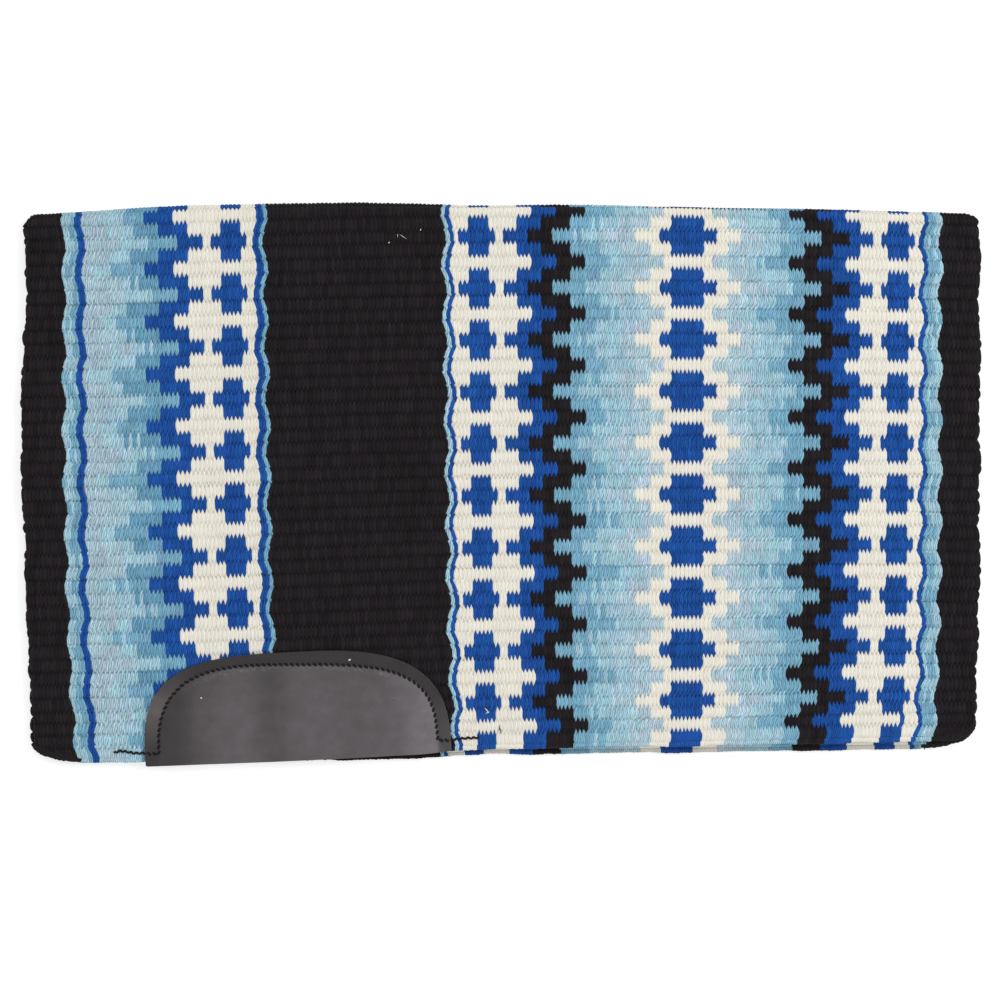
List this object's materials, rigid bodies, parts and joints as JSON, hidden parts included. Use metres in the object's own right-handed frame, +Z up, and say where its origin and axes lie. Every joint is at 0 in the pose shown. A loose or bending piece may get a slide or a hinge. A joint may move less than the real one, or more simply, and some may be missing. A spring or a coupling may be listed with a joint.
{
  "type": "saddle blanket",
  "caption": "Woven wool saddle blanket folded at its spine, with ribbed weft-faced cloth, corded hems and a half-moon wear leather stitched on each side; it opens flat.",
  "frame": {"origin": "centre of the folded blanket's base, on the surface that it lies on", "axes": "+X along the warp cords, from the end with the wear leathers to the other; +Y from the hems to the fold; +Z up"},
  "size_m": [0.864, 0.5037, 0.0177],
  "materials": {
    "woven_wool": "ribbed weft-faced wool weave",
    "hem_wool": "wool wefts turned round the edge cord",
    "black_wool": "wool, bound and rolled",
    "charcoal_leather": "smooth, soft sheen",
    "black_thread": "waxed sewing thread"
  },
  "bodies": {
    "back_half": {"back_panel": "woven_wool", "back_hem_cord": "hem_wool", "back_left_corner_roll": "black_wool", "back_right_corner_roll": "black_wool", "back_wear_leather": "charcoal_leather", "back_stitching": "black_thread"},
    "front_half": {"front_panel": "woven_wool", "front_hem_cord": "hem_wool", "front_left_corner_roll": "black_wool", "front_right_corner_roll": "black_wool", "front_wear_leather": "charcoal_leather", "front_stitching": "black_thread"}
  },
  "joints": [
    {"name": "spine_fold", "type": "hinge", "parent": "back_half", "child": "front_half", "pos_m": [0, 0.2519, 0.00735], "axis": [-1, 0, 0], "range_deg": [0, 180]}
  ]
}
